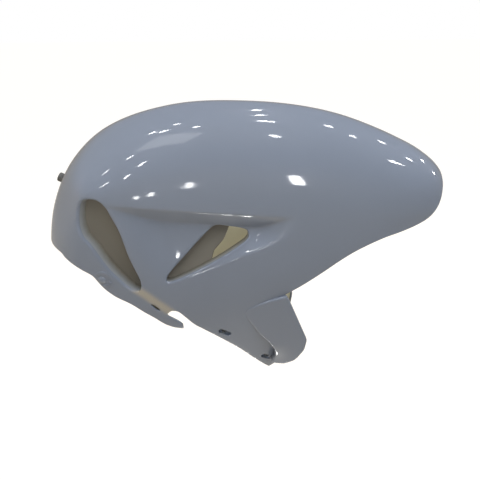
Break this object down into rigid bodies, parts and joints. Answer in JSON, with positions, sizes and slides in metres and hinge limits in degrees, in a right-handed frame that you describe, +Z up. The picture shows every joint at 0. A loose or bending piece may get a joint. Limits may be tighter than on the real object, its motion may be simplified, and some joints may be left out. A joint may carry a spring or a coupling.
{
  "type": "motorcycle front mudguard",
  "caption": "Front mudguard of a road motorcycle: one arched moulding with scooped, vented sides, side boots and fork bolt holes.",
  "frame": {"origin": "middle of the rear fork bolt line, on the part's middle plane", "axes": "+X forward, +Y to the rider's left, +Z up"},
  "size_m": [0.4673, 0.147, 0.3368],
  "materials": {
    "painted_shell": "gloss",
    "stud_plastic": "matte"
  },
  "bodies": {
    "root": {"mudguard_shell": "painted_shell", "hose_guide_stud": "stud_plastic"}
  },
  "joints": []
}
